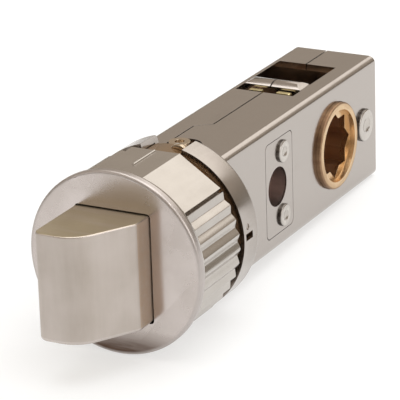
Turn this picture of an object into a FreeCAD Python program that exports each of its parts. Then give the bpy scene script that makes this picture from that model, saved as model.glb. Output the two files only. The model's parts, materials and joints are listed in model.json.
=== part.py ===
import FreeCAD, Part
import math
import os

# Tubular door latch, millimetres.
# Origin at the centre of the faceplate disc's front face, +X out of the door edge,
# +Y the side that shows the hub's near face, +Z up.

Vector = FreeCAD.Vector
X_AXIS = Vector(1, 0, 0)
Y_AXIS = Vector(0, 1, 0)
Z_AXIS = Vector(0, 0, 1)
ORIGIN = Vector(0, 0, 0)
TOUCH = 1e-6

# Fits between pieces.
RUN_GAP = 0.06        # radial gap of the hub in the case walls
SLIDE_GAP = 0.18      # gap on each side of the bolt in its channel
SEAT_GAP = 0.1        # gap round pieces that are held fast
SEAM_GAP = 0.22       # line between the two case halves
MOVE_GAP = 0.3        # gap beside the strap and the horns where they pass fixed pieces

# Hub. The spindle's square sets the height of everything round it.
SPINDLE = 8.0
SPINDLE_GAP = 0.13
STAR_COUNT = 8
HUB_WALL = 1.06       # metal outside the star's points
HUB_STEP = 0.4        # the ends are this much larger in radius than the middle
HUB_SHOULDER = 1.0
HUB_SHOULDER_T = 0.8
HUB_PROUD = 0.85
HUB_LIP = 1.2
HUB_RECESS = 1.0
HUB_SOFT = 0.3
BACKSET = 60.6
HORN_W = 2.3
HORN_REST_DEG = 40.0
HORN_HALF = 0.8

# Retractor strap.
STRAP_T = 1.0
WEB_T = 1.2
STRAP_OVER_HUB = 0.6  # room between the hub's middle and the strap's arms
STRAP_BESIDE = 1.45   # room from the strap's edges to the windows' edges
STRAP_BEND = 1.4
BAR_BEFORE_HUB = 4.6  # from the crossbar's front to the hub's centre
BAR_T = 1.0
HORN_SLOT_GAP = 0.2
SLOT_BEFORE_HUB = 9.5
TAB_BEFORE_HUB = 6.7
TAB_T = 1.1
TAB_UNDER_BRIDGE = 0.2
TAB_SOFT = 0.25
STRAP_RIVET_R = 1.0
STRAP_RIVET_DEEP = 3.0
STRAP_RIVET_HEAD_R = 1.3
STRAP_RIVET_HEAD_T = 0.8
STRAP_RIVET_IN = 0.15 # from a rivet's head to the arm beside it

# Bolt head, seen from above: flat flank, straight bevel, round nose, flat tip.
BOLT_W = 12.4         # along Y
BOLT_OUT = 12.6       # how far the tip stands out of the disc
BOLT_BACK = 10.0      # how far the back lies behind the disc's front
BEVEL_FROM = 3.56     # where the hub-side flank turns into the bevel
BEVEL_DEG = 31.2      # bevel angle from the X axis
NOSE_R = 5.7
TIP_CORNER_R = 1.5
BOLT_SOFT_TOP = 0.25  # the upper edges are crisp, the lower ones worn round
BOLT_SOFT_UNDER = 0.7

# Guide sleeve.
SLEEVE_CROWN = 3.65   # metal above the channel
SLEEVE_END = 19.3
CHANNEL_CORNER = 0.6
TONGUE_W = 8.8
TONGUE_END = 26.4
KEY_W = 0.8
KEY_UP = 0.4          # height of the keys above the middle plane
KEY_SINK = 0.8        # how deep a key sits in the sleeve
KEY_STAND = 0.35      # how far it stands out

# Fluted collar behind the disc.
COLLAR_WALL = 1.5
COLLAR_END = 14.0     # distance of the collar's rear edge behind the disc's front
COLLAR_BAND = 2.5     # plain band ends here
FLUTE_DEPTH = 0.5
FLUTE_FROM_DEG = 107.0    # degrees from +Y toward +Z, flutes run on from here past the far side
FLUTE_TO_DEG = 396.5
FLUTES = 30
FLAT_DEG = 34.0       # each of the two flats
GROOVE_DEPTH = 0.8    # deep flute between the flutes and the near flat
RIB_W = 0.55          # seam rib on the upper flat
RIB_RISE = 0.22
RIB_FROM = 6.8
RIB_TO = 13.4
FULL_TURN_DEG = 360.0

# Faceplate disc.
DISC_OVER = 0.6       # how far the disc reaches past the collar
DISC_T = 1.2
DISC_RIM = 0.5

# Case of two folded halves.
SHEET = 1.1
CUFF_UNDER = 0.15     # the cuffs are this much smaller in radius than the collar
CUFF_STEP_TOP = 3.15  # step from the cuffs down to the upper and lower flanges
CASE_OVER_BOLT = 1.5  # how much wider the case is than the bolt, each side
CASE_PAST_HUB = 16.3
BEND_R = 1.2
CUFF_FROM = 15.5
CUFF_TO = 20.6
CUFF_BEND = 0.8
CUFF_OPEN_DEG = 15.0  # half angle of the openings at the top and the bottom
CUFF_SLOT_W = 1.1
CUFF_SLOT_FROM = 16.1
CUFF_SLOT_END = 18.3
PUNCH_R = 0.5
PUNCH_DEPTH = 0.3
PUNCH_X = 16.9
PUNCH_UP = 1.95
MOUTH_R = 2.8         # round rear end of the gap in each flange behind the cuffs
MOUTH_Y = -1.0
MOUTH_END = 27.4
SEAM_FRONT_IN = 3.95  # distance of the seam from the far face, front part
SEAM_REAR_IN = 6.45   # the same for the rear part
SEAM_OPEN_X = 23.0    # in front of this the halves end at the openings, not at a seam
SEAM_JOG_BEFORE_BLOCK = 2.0
SEAM_JOG = 2.0
WINDOW_FAR = 1.5      # from the far face to the windows
WINDOW_NEAR = 3.5     # from the near face to the windows
WINDOW_BEFORE_HUB = 8.3
WINDOW_PAST_HUB = 8.1
BRIDGE_BEFORE_HUB = 5.4
BRIDGE_LONG = 3.5
BRIDGE_RISE = 0.7
BRIDGE_SLOPE = 1.2    # length of the slope at each end of a bridge
BRIDGE_T = 0.9
BRIDGE_CROWN_R = 3.0
BRIDGE_ROOT = 0.3     # how far the bridge's feet run into the flanges

# Spring, guide and seat.
GUIDE_R = 2.8
GUIDE_LONG = 9.0
GUIDE_PIN_R = 1.5
GUIDE_PIN_DEEP = 3.0
GUIDE_CHAMFER = 0.6
WIRE = 1.0
COIL_R = 4.1
COILS = 8
SEAT_T = 1.2

# Through block.
BLOCK_BEFORE_HUB = 25.6
BLOCK_LONG = 9.6
PLATE_OVER = 0.8      # how far its plates reach past it above and below
PLATE_CORNER = 1.0
BORE_R = 3.25
BORE_IN_BLOCK = 4.1    # from the block pocket's front edge to the through hole
SIDE_RIVET_IN_BLOCK = 6.0
SIDE_RIVET_IN = 1.8   # from the block's upper and lower faces to the rivets
SIDE_RIVET_R = 1.2
SIDE_RIVET_HEAD_R = 1.85
SIDE_RIVET_TALL = 0.5

# Rear rivet and its spacer.
REAR_RIVET_PAST_HUB = 11.3
REAR_RIVET_R = 2.0
REAR_RIVET_HEAD_R = 2.8
REAR_RIVET_TALL = 0.65
HEAD_SOFT_SHARE = 0.6 # edge round of a rivet head as a share of its height
DIMPLE_SHARE = 0.5    # dimple radius as a share of the head's radius
DIMPLE_DEPTH_SHARE = 0.6

# Crescent lug and tubular pin in the top opening.
LUG_X = 17.6
LUG_Y = 1.7
LUG_R = 1.5
LUG_RISE = 0.6        # how far the crescent stands above the sleeve
LUG_T = 1.0
PIN_X = 23.2
PIN_Y = -1.0
PIN_R = 1.7
PIN_HOLE_R = 0.75
PIN_RISE = 2.2
PIN_DEEP = 0.4

# Derived sizes, from the hub outward.
BAR_FROM = BACKSET - BAR_BEFORE_HUB
HORN_SLOT_FROM = BACKSET - SLOT_BEFORE_HUB
TAB_FROM = BACKSET - TAB_BEFORE_HUB
WINDOW_FROM = BACKSET - WINDOW_BEFORE_HUB
WINDOW_TO = BACKSET + WINDOW_PAST_HUB
BRIDGE_FROM = BACKSET - BRIDGE_BEFORE_HUB
BRIDGE_TO = BRIDGE_FROM + BRIDGE_LONG
BLOCK_FROM = BACKSET - BLOCK_BEFORE_HUB
BLOCK_TO = BLOCK_FROM + BLOCK_LONG
BORE_X = BLOCK_FROM + BORE_IN_BLOCK
SIDE_RIVET_X = BLOCK_FROM + SIDE_RIVET_IN_BLOCK
SEAM_JOG_FROM = BLOCK_FROM - SEAM_JOG_BEFORE_BLOCK
SEAM_JOG_TO = SEAM_JOG_FROM + SEAM_JOG
REAR_RIVET_X = BACKSET + REAR_RIVET_PAST_HUB
CASE_END = BACKSET + CASE_PAST_HUB
STAR_R = (SPINDLE + 2 * SPINDLE_GAP) / math.sqrt(2)
HUB_MIDDLE_R = STAR_R + HUB_WALL
HUB_R = HUB_MIDDLE_R + HUB_STEP
HUB_SHOULDER_R = HUB_R + HUB_SHOULDER
SPACER_R = REAR_RIVET_PAST_HUB - HUB_SHOULDER_R - MOVE_GAP
ARM_UNDER = HUB_MIDDLE_R + STRAP_OVER_HUB
ARM_TOP = ARM_UNDER + STRAP_T
STRAP_RIVET_UP = ARM_UNDER - STRAP_RIVET_IN - STRAP_RIVET_HEAD_R
WEB_END = BOLT_BACK + WEB_T
BOLT_H = 2 * ARM_TOP
CHANNEL_W = BOLT_W + 2 * SLIDE_GAP
CHANNEL_H = BOLT_H + 2 * SLIDE_GAP
SLEEVE_R = CHANNEL_H / 2 + SLEEVE_CROWN
COLLAR_IN_R = SLEEVE_R + SEAT_GAP
COLLAR_R = COLLAR_IN_R + COLLAR_WALL
DISC_R = COLLAR_R + DISC_OVER
CUFF_R = COLLAR_R - CUFF_UNDER
SLEEVE_REAR_R = CUFF_R - SHEET - SEAT_GAP
LUG_UP = SLEEVE_REAR_R + LUG_RISE - LUG_R
HALF_W = BOLT_W / 2 + CASE_OVER_BOLT
HALF_H = CUFF_R - CUFF_STEP_TOP
IN_W = HALF_W - SHEET
IN_H = HALF_H - SHEET
WINDOW_LOW = -HALF_W + WINDOW_FAR
WINDOW_HIGH = HALF_W - WINDOW_NEAR
WINDOW_W = WINDOW_HIGH - WINDOW_LOW
WORKS_Y = (WINDOW_LOW + WINDOW_HIGH) / 2   # middle plane of strap, horns and windows
STRAP_W = WINDOW_W - 2 * STRAP_BESIDE
HORN_SLOT_W = HORN_W + 2 * HORN_SLOT_GAP
BRIDGE_TOP = HALF_H + BRIDGE_RISE
BRIDGE_UNDER = BRIDGE_TOP - BRIDGE_T
HORN_LONG = BRIDGE_UNDER - MOVE_GAP - HORN_HALF
TAB_TOP = BRIDGE_UNDER - TAB_UNDER_BRIDGE
BLOCK_H = 2 * (ARM_UNDER - MOVE_GAP)
PLATE_H = BLOCK_H + 2 * PLATE_OVER
SIDE_RIVET_UP = BLOCK_H / 2 - SIDE_RIVET_IN
BLOCK_FRONT = BLOCK_FROM + SEAT_GAP
SEAT_FRONT = BLOCK_FRONT - SEAT_T
PAST = CASE_END       # long enough to reach past any face


def box(x_range, y_range, z_range):
    low = Vector(min(x_range), min(y_range), min(z_range))
    high = Vector(max(x_range), max(y_range), max(z_range))
    size = high - low
    return Part.makeBox(size.x, size.y, size.z, low)


def edges_along(shape, axis):
    """Straight edges of a shape that run along an axis."""
    found = []
    for edge in shape.Edges:
        if not isinstance(edge.Curve, Part.Line):
            continue
        way = edge.tangentAt(edge.FirstParameter)
        if abs(abs(way.dot(axis)) - 1) < TOUCH:
            found.append(edge)
    return found


def soft_box(x_range, y_range, z_range, radius, axis):
    """Box with the four edges along one axis rounded."""
    block = box(x_range, y_range, z_range)
    return block.makeFillet(radius, edges_along(block, axis))


def rod_x(radius, x_front, x_rear, y=0, z=0):
    """Cylinder along X between two distances behind the disc's front."""
    return Part.makeCylinder(radius, x_rear - x_front, Vector(-x_rear, y, z), X_AXIS)


def rod_y(radius, y_low, y_high, x=0, z=0):
    return Part.makeCylinder(radius, y_high - y_low, Vector(x, y_low, z), Y_AXIS)


def rod_z(radius, z_low, z_high, x=0, y=0):
    return Part.makeCylinder(radius, z_high - z_low, Vector(x, y, z_low), Z_AXIS)


def solid_from(points, reach):
    """Prism on a closed outline of points."""
    outline = Part.makePolygon(list(points) + [points[0]])
    return Part.Face(outline).extrude(reach)


def round_point(radius, degrees, x=0):
    """Point on a circle round the X axis, degrees from +Y toward +Z."""
    angle = math.radians(degrees)
    return Vector(x, radius * math.cos(angle), radius * math.sin(angle))


def both_ways(shape):
    """A shape and its mirror image below the middle plane."""
    return shape.fuse(shape.mirror(ORIGIN, Z_AXIS))


def channel(x_front, x_rear):
    half_w = CHANNEL_W / 2
    half_h = CHANNEL_H / 2
    return soft_box((-x_front, -x_rear), (-half_w, half_w), (-half_h, half_h),
                    CHANNEL_CORNER, X_AXIS)


def faceplate_disc():
    disc = rod_x(DISC_R, 0, DISC_T)
    front_rim = []
    for edge in disc.Edges:
        if isinstance(edge.Curve, Part.Circle) and abs(edge.Curve.Center.x) < TOUCH:
            front_rim.append(edge)
    disc = disc.makeFillet(DISC_RIM, front_rim)
    return disc.cut(channel(-DISC_T, 2 * DISC_T))


def fluted_collar():
    pitch = (FLUTE_TO_DEG - FLUTE_FROM_DEG) / FLUTES
    root_r = COLLAR_R - FLUTE_DEPTH
    outline = []
    for number in range(FLUTES):
        tip = FLUTE_FROM_DEG + number * pitch
        outline.append(round_point(COLLAR_R, tip, -COLLAR_END))
        outline.append(round_point(root_r, tip + pitch / 2, -COLLAR_END))
    outline.append(round_point(COLLAR_R, FLUTE_TO_DEG, -COLLAR_END))
    low_edge = FLUTE_FROM_DEG - 2 * FLAT_DEG
    groove = (FLUTE_TO_DEG - FULL_TURN_DEG + low_edge) / 2
    outline.append(round_point(COLLAR_R - GROOVE_DEPTH, groove, -COLLAR_END))
    for edge in (low_edge, low_edge + FLAT_DEG):
        outline.append(round_point(COLLAR_R, edge, -COLLAR_END))
    fluted = solid_from(outline, Vector(COLLAR_END - COLLAR_BAND, 0, 0))
    collar = fluted.fuse(rod_x(COLLAR_R, DISC_T, COLLAR_BAND))
    flat_far = COLLAR_R * math.cos(math.radians(FLAT_DEG) / 2)
    rib = rod_x(RIB_W / 2, RIB_FROM, RIB_TO, 0, flat_far + RIB_RISE - RIB_W / 2)
    foot = box((-RIB_FROM, -RIB_TO), (-RIB_W / 2, RIB_W / 2),
               (flat_far - RIB_W, flat_far + RIB_RISE - RIB_W / 2))
    collar = collar.fuse(rib.fuse(foot))
    return collar.cut(rod_x(COLLAR_IN_R, 0, COLLAR_END + DISC_T)).removeSplitter()


def sleeve_key(side):
    """Key of the sleeve, side +1 near and -1 far."""
    half = KEY_W / 2
    inner = SLEEVE_REAR_R - KEY_SINK
    outer = SLEEVE_REAR_R + KEY_STAND
    front = -(CUFF_SLOT_FROM + SEAT_GAP)
    rear = -(CUFF_SLOT_END - SEAT_GAP)
    return box((front, rear), (side * inner, side * outer), (KEY_UP - half, KEY_UP + half))


def guide_sleeve():
    body = rod_x(SLEEVE_R, DISC_T, SLEEVE_END)
    body = body.fuse(rod_x(SLEEVE_REAR_R, CUFF_FROM + SEAT_GAP, SLEEVE_END))
    tongue = box((-SLEEVE_END + SHEET, -TONGUE_END), (-TONGUE_W / 2, TONGUE_W / 2),
                 (CHANNEL_H / 2 - SEAT_GAP, IN_H - SEAT_GAP))
    body = body.fuse(both_ways(tongue))
    body = body.cut(channel(0, PAST))
    for side in (1, -1):
        body = body.cut(sleeve_key(side))
    body = body.cut(pin_socket())
    return body.removeSplitter()


def case_tube():
    """Both halves in one: folded tube with windows, bridges and the front ring."""
    tube = soft_box((-CUFF_TO + SHEET, -CASE_END), (-HALF_W, HALF_W), (-HALF_H, HALF_H),
                    BEND_R, X_AXIS)
    ring = rod_x(CUFF_R, CUFF_FROM, CUFF_TO)
    rear_rim = []
    for edge in ring.Edges:
        if isinstance(edge.Curve, Part.Circle) and abs(edge.Curve.Center.x + CUFF_TO) < TOUCH:
            rear_rim.append(edge)
    ring = ring.makeFillet(CUFF_BEND, rear_rim)
    tube = tube.fuse(ring)
    tube = tube.cut(rod_x(CUFF_R - SHEET, 0, CUFF_TO - SHEET))
    tube = tube.cut(box((0, -CASE_END - PAST), (-IN_W, IN_W), (-IN_H, IN_H)))
    open_half = math.radians(CUFF_OPEN_DEG)
    reach = 2 * CUFF_R
    wedge = solid_from([Vector(0, 0, 0),
                        Vector(0, reach * math.sin(open_half), reach * math.cos(open_half)),
                        Vector(0, -reach * math.sin(open_half), reach * math.cos(open_half))],
                       Vector(-CUFF_TO, 0, 0))
    mouth_centre = MOUTH_END - MOUTH_R
    mouth = rod_z(MOUTH_R, IN_H - SHEET, HALF_H + SHEET, -mouth_centre, MOUTH_Y)
    mouth = mouth.fuse(box((-CUFF_TO + SHEET, -mouth_centre),
                           (MOUTH_Y - MOUTH_R, MOUTH_Y + MOUTH_R),
                           (IN_H - SHEET, HALF_H + SHEET)))
    tube = tube.cut(both_ways(wedge.fuse(mouth)))
    window = box((-WINDOW_FROM, -WINDOW_TO), (WINDOW_LOW, WINDOW_HIGH), (IN_H - SHEET, PAST))
    tube = tube.cut(both_ways(window))
    return tube.fuse(both_ways(bridge()))


def bridge():
    """Raised strip between the two windows of a flange, crowned along the case."""
    foot = WINDOW_W / 2
    crown = foot - BRIDGE_SLOPE
    slip = SEAT_GAP
    outline = [(foot + BRIDGE_ROOT, HALF_H), (foot, HALF_H), (crown, BRIDGE_TOP),
               (-crown, BRIDGE_TOP), (-foot, HALF_H), (-foot - BRIDGE_ROOT, HALF_H),
               (-foot - BRIDGE_ROOT, IN_H), (-foot + slip, IN_H),
               (-crown + slip, BRIDGE_UNDER), (crown - slip, BRIDGE_UNDER),
               (foot - slip, IN_H), (foot + BRIDGE_ROOT, IN_H)]
    points = [Vector(-BRIDGE_TO, WORKS_Y + y, z) for y, z in outline]
    strip = solid_from(points, Vector(BRIDGE_TO - BRIDGE_FROM, 0, 0))
    middle = -(BRIDGE_FROM + BRIDGE_TO) / 2
    return strip.common(rod_y(BRIDGE_CROWN_R, -PAST, PAST, middle, BRIDGE_TOP - BRIDGE_CROWN_R))


def near_region(shift):
    """Everything on the hub side of the seam."""
    low = -PAST
    front = -HALF_W + SEAM_FRONT_IN + shift
    rear = -HALF_W + SEAM_REAR_IN + shift
    path = [Vector(PAST, 0, low),
            Vector(-SEAM_OPEN_X, 0, low),
            Vector(-SEAM_OPEN_X, front, low),
            Vector(-SEAM_JOG_FROM, front, low),
            Vector(-SEAM_JOG_TO, rear, low),
            Vector(-CASE_END - PAST, rear, low),
            Vector(-CASE_END - PAST, 2 * PAST, low),
            Vector(PAST, 2 * PAST, low)]
    return solid_from(path, Vector(0, 0, 2 * PAST))


def wall_holes(side):
    """Hub hole, block window and rear rivet hole in one wall."""
    inner = side * (IN_W - SHEET)
    outer = side * (HALF_W + SHEET)
    low = min(inner, outer)
    high = max(inner, outer)
    cuts = rod_y(HUB_R + RUN_GAP, low, high, -BACKSET)
    cuts = cuts.fuse(soft_box((-BLOCK_FROM, -BLOCK_TO), (low, high),
                              (-PLATE_H / 2, PLATE_H / 2), PLATE_CORNER, Y_AXIS))
    return cuts.fuse(rod_y(REAR_RIVET_R + SEAT_GAP, low, high, -REAR_RIVET_X))


def cuff_slot(side):
    low = KEY_UP - CUFF_SLOT_W / 2
    high = KEY_UP + CUFF_SLOT_W / 2
    return box((-CUFF_SLOT_FROM, -CUFF_SLOT_END), (0, side * PAST), (low, high))


def case_near_half(tube):
    half = tube.common(near_region(SEAM_GAP / 2))
    half = half.cut(wall_holes(1)).cut(cuff_slot(1))
    punch = rod_y(PUNCH_R, CUFF_R - PUNCH_DEPTH, PAST, -PUNCH_X, PUNCH_UP)
    return half.cut(punch).removeSplitter()


def case_far_half(tube):
    half = tube.cut(near_region(-SEAM_GAP / 2))
    half = half.cut(wall_holes(-1)).cut(cuff_slot(-1))
    rear = box((-CASE_END, -CASE_END + SHEET), (-IN_W, IN_W - SEAT_GAP),
               (-IN_H + SEAT_GAP, IN_H - SEAT_GAP))
    stem = box((-CASE_END, -CASE_END + SHEET), (-IN_W - SHEET / 2, -IN_W),
               (-IN_H + SEAT_GAP, IN_H - SEAT_GAP))
    return half.fuse(rear.fuse(stem)).removeSplitter()


def latch_bolt():
    half_w = BOLT_W / 2
    bevel = math.radians(BEVEL_DEG)
    nose_x = BOLT_OUT - NOSE_R
    nose_y = half_w - (NOSE_R + math.sin(bevel) * (nose_x - BEVEL_FROM)) / math.cos(bevel)
    low = -BOLT_H / 2

    def at(x, y):
        return Vector(x, y, low)

    def on_nose(angle):
        return at(nose_x + NOSE_R * math.cos(angle), nose_y + NOSE_R * math.sin(angle))

    touch = math.pi / 2 - bevel
    corner_y = -half_w + TIP_CORNER_R
    corner_x = BOLT_OUT - TIP_CORNER_R
    slant = math.radians(-45)
    corner_mid = at(corner_x + TIP_CORNER_R * math.cos(slant),
                    corner_y + TIP_CORNER_R * math.sin(slant))
    outline = Part.Wire([
        Part.makeLine(at(-BOLT_BACK, half_w), at(BEVEL_FROM, half_w)),
        Part.makeLine(at(BEVEL_FROM, half_w), on_nose(touch)),
        Part.Arc(on_nose(touch), on_nose(touch / 2), on_nose(0)).toShape(),
        Part.makeLine(on_nose(0), at(BOLT_OUT, corner_y)),
        Part.Arc(at(BOLT_OUT, corner_y), corner_mid, at(corner_x, -half_w)).toShape(),
        Part.makeLine(at(corner_x, -half_w), at(-BOLT_BACK, -half_w)),
        Part.makeLine(at(-BOLT_BACK, -half_w), at(-BOLT_BACK, half_w))])
    bolt = Part.Face(outline).extrude(Vector(0, 0, BOLT_H))
    for level, soft in ((BOLT_H / 2, BOLT_SOFT_TOP), (-BOLT_H / 2, BOLT_SOFT_UNDER)):
        rims = []
        for edge in bolt.Edges:
            centre = edge.BoundBox.Center
            if edge.BoundBox.ZLength > TOUCH or abs(centre.z - level) > TOUCH:
                continue
            if abs(centre.x + BOLT_BACK) > TOUCH:
                rims.append(edge)
        bolt = bolt.makeFillet(soft, rims)
    for up in (STRAP_RIVET_UP, -STRAP_RIVET_UP):
        bolt = bolt.cut(rod_x(STRAP_RIVET_R, BOLT_BACK - STRAP_RIVET_DEEP,
                              BOLT_BACK + WEB_T, WORKS_Y, up))
    return bolt.cut(rod_x(GUIDE_PIN_R, BOLT_BACK - GUIDE_PIN_DEEP, BOLT_BACK + WEB_T,
                          WORKS_Y, 0))


def retractor_strap():
    y_range = (WORKS_Y - STRAP_W / 2, WORKS_Y + STRAP_W / 2)
    bar_end = BAR_FROM + BAR_T
    outer = box((-BOLT_BACK, -bar_end), y_range, (-ARM_TOP, ARM_TOP))
    corners = []
    for edge in edges_along(outer, Y_AXIS):
        if abs(edge.BoundBox.Center.x + BOLT_BACK) < TOUCH:
            corners.append(edge)
    outer = outer.makeFillet(STRAP_BEND, corners)
    inner = box((-WEB_END, -bar_end - PAST), (-PAST, PAST), (-ARM_UNDER, ARM_UNDER))
    strap = outer.cut(inner)
    tab = soft_box((-TAB_FROM, -TAB_FROM - TAB_T), y_range,
                   (ARM_UNDER + STRAP_T / 2, TAB_TOP), TAB_SOFT, X_AXIS)
    strap = strap.fuse(both_ways(tab))
    slot = box((-HORN_SLOT_FROM, -BAR_FROM),
               (WORKS_Y - HORN_SLOT_W / 2, WORKS_Y + HORN_SLOT_W / 2), (-PAST, PAST))
    strap = strap.cut(slot)
    for up in (STRAP_RIVET_UP, -STRAP_RIVET_UP):
        strap = strap.cut(rod_x(STRAP_RIVET_R, 0, WEB_END + WEB_T, WORKS_Y, up))
    return strap.cut(rod_x(GUIDE_PIN_R, 0, WEB_END + WEB_T, WORKS_Y, 0)).removeSplitter()


def strap_rivet(up):
    shank = rod_x(STRAP_RIVET_R, BOLT_BACK - STRAP_RIVET_DEEP, WEB_END, WORKS_Y, up)
    head = rod_x(STRAP_RIVET_HEAD_R, WEB_END, WEB_END + STRAP_RIVET_HEAD_T, WORKS_Y, up)
    rim = []
    for edge in head.Edges:
        if abs(edge.BoundBox.Center.x + WEB_END + STRAP_RIVET_HEAD_T) < TOUCH:
            rim.append(edge)
    head = head.makeFillet(STRAP_RIVET_HEAD_T / 2, rim)
    return shank.fuse(head)


def spring_guide():
    rod = rod_x(GUIDE_R, WEB_END, WEB_END + GUIDE_LONG, WORKS_Y, 0)
    rim = []
    for edge in rod.Edges:
        if abs(edge.BoundBox.Center.x + WEB_END + GUIDE_LONG) < TOUCH:
            rim.append(edge)
    rod = rod.makeChamfer(GUIDE_CHAMFER, rim)
    return rod.fuse(rod_x(GUIDE_PIN_R, BOLT_BACK - GUIDE_PIN_DEEP, WEB_END, WORKS_Y, 0))


def bolt_spring():
    length = SEAT_FRONT - WEB_END
    rise = length - WIRE
    path = Part.makeHelix(rise / COILS, rise, COIL_R)
    start = Part.Circle(Vector(COIL_R, 0, 0), Y_AXIS, WIRE / 2).toShape()
    coil = Part.Wire(path).makePipeShell([Part.Wire(start)], True, True)
    turn = FreeCAD.Rotation(Y_AXIS, -90)
    coil.Placement = FreeCAD.Placement(Vector(-WEB_END - WIRE / 2, WORKS_Y, 0), turn)
    return coil


def spring_seat():
    half_w = IN_W - SEAT_GAP
    return soft_box((-SEAT_FRONT, -BLOCK_FRONT), (-half_w, half_w),
                    (-BLOCK_H / 2, BLOCK_H / 2), PLATE_CORNER, X_AXIS)


def through_block():
    rear = BLOCK_TO - SEAT_GAP
    block = box((-BLOCK_FRONT, -rear), (-IN_W + SEAT_GAP, IN_W - SEAT_GAP),
                (-BLOCK_H / 2, BLOCK_H / 2))
    plate_half = PLATE_H / 2 - SEAT_GAP
    for side in (1, -1):
        plate = soft_box((-BLOCK_FRONT, -rear), (side * (IN_W - SEAT_GAP), side * HALF_W),
                         (-plate_half, plate_half), PLATE_CORNER, Y_AXIS)
        block = block.fuse(plate)
    block = block.cut(rod_y(BORE_R, -PAST, PAST, -BORE_X))
    for up in (SIDE_RIVET_UP, -SIDE_RIVET_UP):
        block = block.cut(rod_y(SIDE_RIVET_R, -PAST, PAST, -SIDE_RIVET_X, up))
    return block.removeSplitter()


def button_rivet(x, up, shank_r, head_r, tall):
    """Rivet through both sides of the case, a dimpled button head at each end."""
    rivet = rod_y(shank_r, -HALF_W, HALF_W, x, up)
    for side in (1, -1):
        top = side * (HALF_W + tall)
        ends = sorted((side * HALF_W, top))
        head = rod_y(head_r, ends[0], ends[1], x, up)
        rim = []
        for edge in head.Edges:
            if isinstance(edge.Curve, Part.Circle) and abs(edge.Curve.Center.y - top) < TOUCH:
                rim.append(edge)
        head = head.makeFillet(HEAD_SOFT_SHARE * tall, rim)
        dimple_r = DIMPLE_SHARE * head_r
        deep = DIMPLE_DEPTH_SHARE * tall
        dip_r = (dimple_r ** 2 + deep ** 2) / (2 * deep)
        dip = Part.makeSphere(dip_r, Vector(x, top + side * (dip_r - deep), up))
        rivet = rivet.fuse(head.cut(dip))
    return rivet


def rear_spacer():
    tube = rod_y(SPACER_R, -IN_W, IN_W, -REAR_RIVET_X)
    return tube.cut(rod_y(REAR_RIVET_R, -PAST, PAST, -REAR_RIVET_X))


def horn():
    """One horn, standing straight up from the hub's axis."""
    y_range = (WORKS_Y - HORN_W / 2, WORKS_Y + HORN_W / 2)
    stem = box((-HORN_HALF, HORN_HALF), y_range, (0, HORN_LONG))
    return stem.fuse(rod_y(HORN_HALF, y_range[0], y_range[1], 0, HORN_LONG))


def hub():
    face = HALF_W + HUB_PROUD
    body = rod_y(HUB_MIDDLE_R, -IN_W, IN_W)
    shoulder_out = IN_W - SEAT_GAP
    for side in (1, -1):
        ends = sorted((side * (shoulder_out - HUB_SHOULDER_T), side * face))
        end = rod_y(HUB_R, ends[0], ends[1])
        rim = []
        for edge in end.Edges:
            if isinstance(edge.Curve, Part.Circle) and abs(edge.Curve.Center.y - side * face) < TOUCH:
                rim.append(edge)
        body = body.fuse(end.makeFillet(HUB_SOFT, rim))
        ends = sorted((side * (shoulder_out - HUB_SHOULDER_T), side * shoulder_out))
        body = body.fuse(rod_y(HUB_SHOULDER_R, ends[0], ends[1]))
    upper = horn()
    upper.rotate(ORIGIN, Y_AXIS, HORN_REST_DEG)
    body = body.fuse(both_ways(upper))
    for side in (1, -1):
        ends = sorted((side * (face - HUB_RECESS), side * (face + HUB_PROUD)))
        body = body.cut(rod_y(HUB_R - HUB_LIP, ends[0], ends[1]))
    body = body.cut(spindle_star(face + HUB_PROUD))
    body.translate(Vector(-BACKSET, 0, 0))
    return body.removeSplitter()


def spindle_star(half_long):
    """Star hole that takes the square spindle in eight positions."""
    step = math.pi / STAR_COUNT
    valley_r = STAR_R * math.cos(2 * step) / math.cos(step)
    outline = []
    for number in range(2 * STAR_COUNT):
        radius = valley_r if number % 2 else STAR_R
        outline.append(Vector(radius * math.cos(number * step), -half_long,
                              radius * math.sin(number * step)))
    return solid_from(outline, Vector(0, 2 * half_long, 0))


def sleeve_lug():
    """Crescent standing on the sleeve, in the top opening."""
    lug = rod_x(LUG_R, LUG_X, LUG_X + LUG_T, LUG_Y, LUG_UP)
    return lug.cut(rod_x(SLEEVE_REAR_R, 0, PAST))


def pin_socket():
    foot = IN_H - SEAT_GAP
    return rod_z(PIN_R, foot - PIN_DEEP, foot + PAST, -PIN_X, PIN_Y)


def sleeve_pin():
    foot = IN_H - SEAT_GAP
    pin = rod_z(PIN_R, foot - PIN_DEEP, foot + PIN_RISE, -PIN_X, PIN_Y)
    return pin.cut(rod_z(PIN_HOLE_R, foot, PAST, -PIN_X, PIN_Y))


def save(shape, node):
    solid = shape.Solids[0] if len(shape.Solids) == 1 else shape
    solid.exportStep("parts/" + node + ".step")
    print(node, len(shape.Solids), round(shape.Volume, 2), shape.isValid())


os.makedirs("parts", exist_ok=True)
save(faceplate_disc(), "faceplate_disc")
save(fluted_collar(), "fluted_collar")
save(guide_sleeve(), "guide_sleeve")
whole_case = case_tube()
save(case_near_half(whole_case), "case_near_half")
save(case_far_half(whole_case), "case_far_half")
save(latch_bolt(), "latch_bolt")
save(retractor_strap(), "retractor_strap")
save(strap_rivet(STRAP_RIVET_UP), "strap_rivet_upper")
save(strap_rivet(-STRAP_RIVET_UP), "strap_rivet_lower")
save(spring_guide(), "spring_guide")
save(bolt_spring(), "bolt_spring")
save(spring_seat(), "spring_seat")
save(through_block(), "through_block")
for node, up in (("block_rivet_upper", SIDE_RIVET_UP), ("block_rivet_lower", -SIDE_RIVET_UP)):
    save(button_rivet(-SIDE_RIVET_X, up, SIDE_RIVET_R, SIDE_RIVET_HEAD_R, SIDE_RIVET_TALL), node)
save(button_rivet(-REAR_RIVET_X, 0, REAR_RIVET_R, REAR_RIVET_HEAD_R, REAR_RIVET_TALL), "rear_rivet")
save(rear_spacer(), "rear_spacer")
save(hub(), "hub")
save(sleeve_key(1), "sleeve_key_near")
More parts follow.
